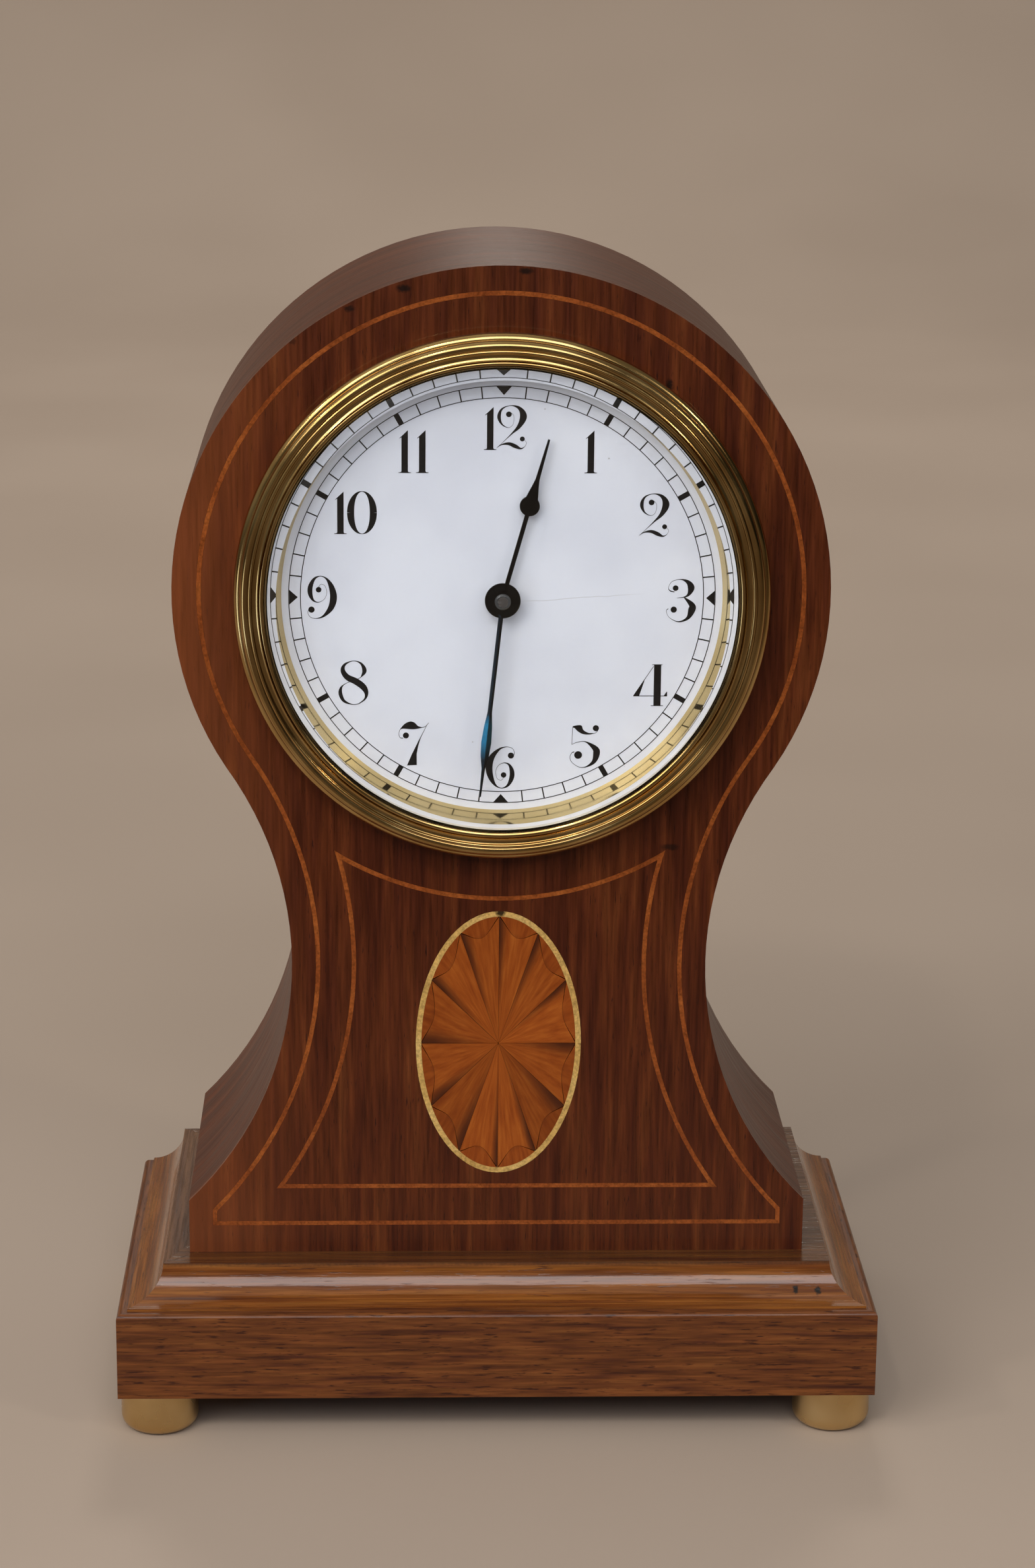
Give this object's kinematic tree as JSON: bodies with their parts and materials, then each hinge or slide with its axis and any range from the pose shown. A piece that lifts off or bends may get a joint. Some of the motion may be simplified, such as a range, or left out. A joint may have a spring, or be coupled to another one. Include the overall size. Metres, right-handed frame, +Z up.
{
  "type": "balloon mantel clock",
  "caption": "Inlaid mahogany balloon mantel clock on a moulded plinth with brass feet, round enamel dial under bevelled glass, wound and set from a hinged rear door.",
  "frame": {"origin": "on the table under the middle of the plinth", "axes": "+Z up, -Y out of the dial, +X to the right seen from the front"},
  "size_m": [0.1484, 0.0812, 0.2282],
  "materials": {
    "mahogany": "french polished",
    "carcass_wood": "plain sawn",
    "stringing": "polished",
    "boxwood": "polished",
    "fan_veneer": "sand shaded, polished",
    "lunette_veneer": "polished",
    "brass": "polished",
    "steel": "polished",
    "blued_steel": "blued",
    "enamel": "vitreous enamel",
    "bevelled_glass": "clear"
  },
  "bodies": {
    "case": {"plinth_block": "mahogany", "plinth_moulding": "mahogany", "front_feet": "brass", "back_feet": "brass", "floor_board": "carcass_wood", "case_screws": "steel", "case_band": "mahogany", "front_board": "carcass_wood", "front_veneer": "mahogany", "back_board": "mahogany", "back_board_screws": "brass", "outer_stringing": "stringing", "panel_stringing": "stringing", "oval_border": "boxwood", "fan_petals": "fan_veneer", "fan_lunettes": "lunette_veneer", "bezel": "brass", "glass": "bevelled_glass", "glass_ring": "brass", "dial": "enamel", "dial_plate": "brass", "bezel_screws": "steel", "dial_posts": "brass", "case_straps": "brass", "strap_screws": "steel", "door_ring": "brass", "hinge_pin": "steel", "front_plate": "brass", "back_plate": "brass", "pillars": "brass", "plate_screws": "steel", "click_spring": "steel", "hairspring": "blued_steel", "balance_cock": "brass"},
    "hand_setting": {"centre_arbor": "steel", "cannon_pinion": "steel", "minute_hand": "blued_steel", "hand_nut": "steel", "set_knob": "brass"},
    "hour": {"hour_wheel": "brass", "hour_hand": "blued_steel"},
    "motion": {"minute_wheel": "brass"},
    "winding": {"barrel_arbor": "steel", "ratchet_wheel": "steel", "winding_key": "steel"},
    "barrel": {"barrel": "brass", "barrel_cover": "brass", "mainspring": "blued_steel"},
    "centre": {"centre_wheel": "brass"},
    "third": {"third_wheel": "brass"},
    "fourth": {"fourth_wheel": "brass"},
    "escape": {"escape_wheel": "brass"},
    "lever": {"pallet_lever": "steel"},
    "balance": {"balance_wheel": "brass"},
    "regulator": {"regulator": "steel"},
    "click": {"click": "steel"},
    "door": {"door": "brass", "door_knob": "brass"}
  },
  "joints": [
    {"name": "hand_setting_turn", "type": "hinge", "parent": "case", "child": "hand_setting", "pos_m": [0, 0, 0.1662], "axis": [0, 1, 0], "continuous": true},
    {"name": "hour_turn", "type": "hinge", "parent": "case", "child": "hour", "pos_m": [0, 0, 0.1662], "axis": [0, 1, 0], "continuous": true},
    {"name": "minute_wheel_turn", "type": "hinge", "parent": "case", "child": "motion", "pos_m": [0, 0, 0.1566], "axis": [0, 1, 0], "continuous": true},
    {"name": "winding_turn", "type": "hinge", "parent": "case", "child": "winding", "pos_m": [-0.01276, 0, 0.15344], "axis": [0, 1, 0], "continuous": true},
    {"name": "fourth_turn", "type": "hinge", "parent": "case", "child": "fourth", "pos_m": [0.01702, 0, 0.17359], "axis": [0, 1, 0], "continuous": true},
    {"name": "third_turn", "type": "hinge", "parent": "case", "child": "third", "pos_m": [0.00648, 0, 0.17742], "axis": [0, 1, 0], "continuous": true},
    {"name": "centre_turn", "type": "hinge", "parent": "case", "child": "centre", "pos_m": [0, 0, 0.1662], "axis": [0, 1, 0], "continuous": true},
    {"name": "barrel_turn", "type": "hinge", "parent": "case", "child": "barrel", "pos_m": [-0.01276, 0, 0.15344], "axis": [0, 1, 0], "continuous": true},
    {"name": "escape_turn", "type": "hinge", "parent": "case", "child": "escape", "pos_m": [0.01982, 0, 0.16315], "axis": [0, 1, 0], "continuous": true},
    {"name": "lever_rock", "type": "hinge", "parent": "case", "child": "lever", "pos_m": [0.02332, 0, 0.15709], "axis": [0, 1, 0], "range_deg": [-4, 4]},
    {"name": "balance_swing", "type": "hinge", "parent": "case", "child": "balance", "pos_m": [0.01682, 0, 0.15334], "axis": [0, 1, 0], "range_deg": [-135, 135], "stiffness_Nm_per_rad": 0.000007},
    {"name": "regulator_turn", "type": "hinge", "parent": "case", "child": "regulator", "pos_m": [0.01682, 0, 0.15334], "axis": [0, 1, 0], "range_deg": [-25, 25]},
    {"name": "click_lift", "type": "hinge", "parent": "case", "child": "click", "pos_m": [-0.02159, 0, 0.15854], "axis": [0, -1, 0], "range_deg": [0, 8], "stiffness_Nm_per_rad": 0.00002, "springref_deg": -11.46},
    {"name": "door_hinge", "type": "hinge", "parent": "case", "child": "door", "pos_m": [0.0446, 0.0365, 0.1662], "axis": [0, 0, -1], "range_deg": [0, 110]}
  ],
  "couplings": [
    {"joint": "hour_turn", "follows": "hand_setting_turn", "ratio": 0.083333},
    {"joint": "minute_wheel_turn", "follows": "hand_setting_turn", "ratio": -0.33333},
    {"joint": "third_turn", "follows": "fourth_turn", "ratio": -0.13333},
    {"joint": "centre_turn", "follows": "fourth_turn", "ratio": 0.016667},
    {"joint": "barrel_turn", "follows": "fourth_turn", "ratio": -0.0023148},
    {"joint": "escape_turn", "follows": "fourth_turn", "ratio": -8}
  ]
}
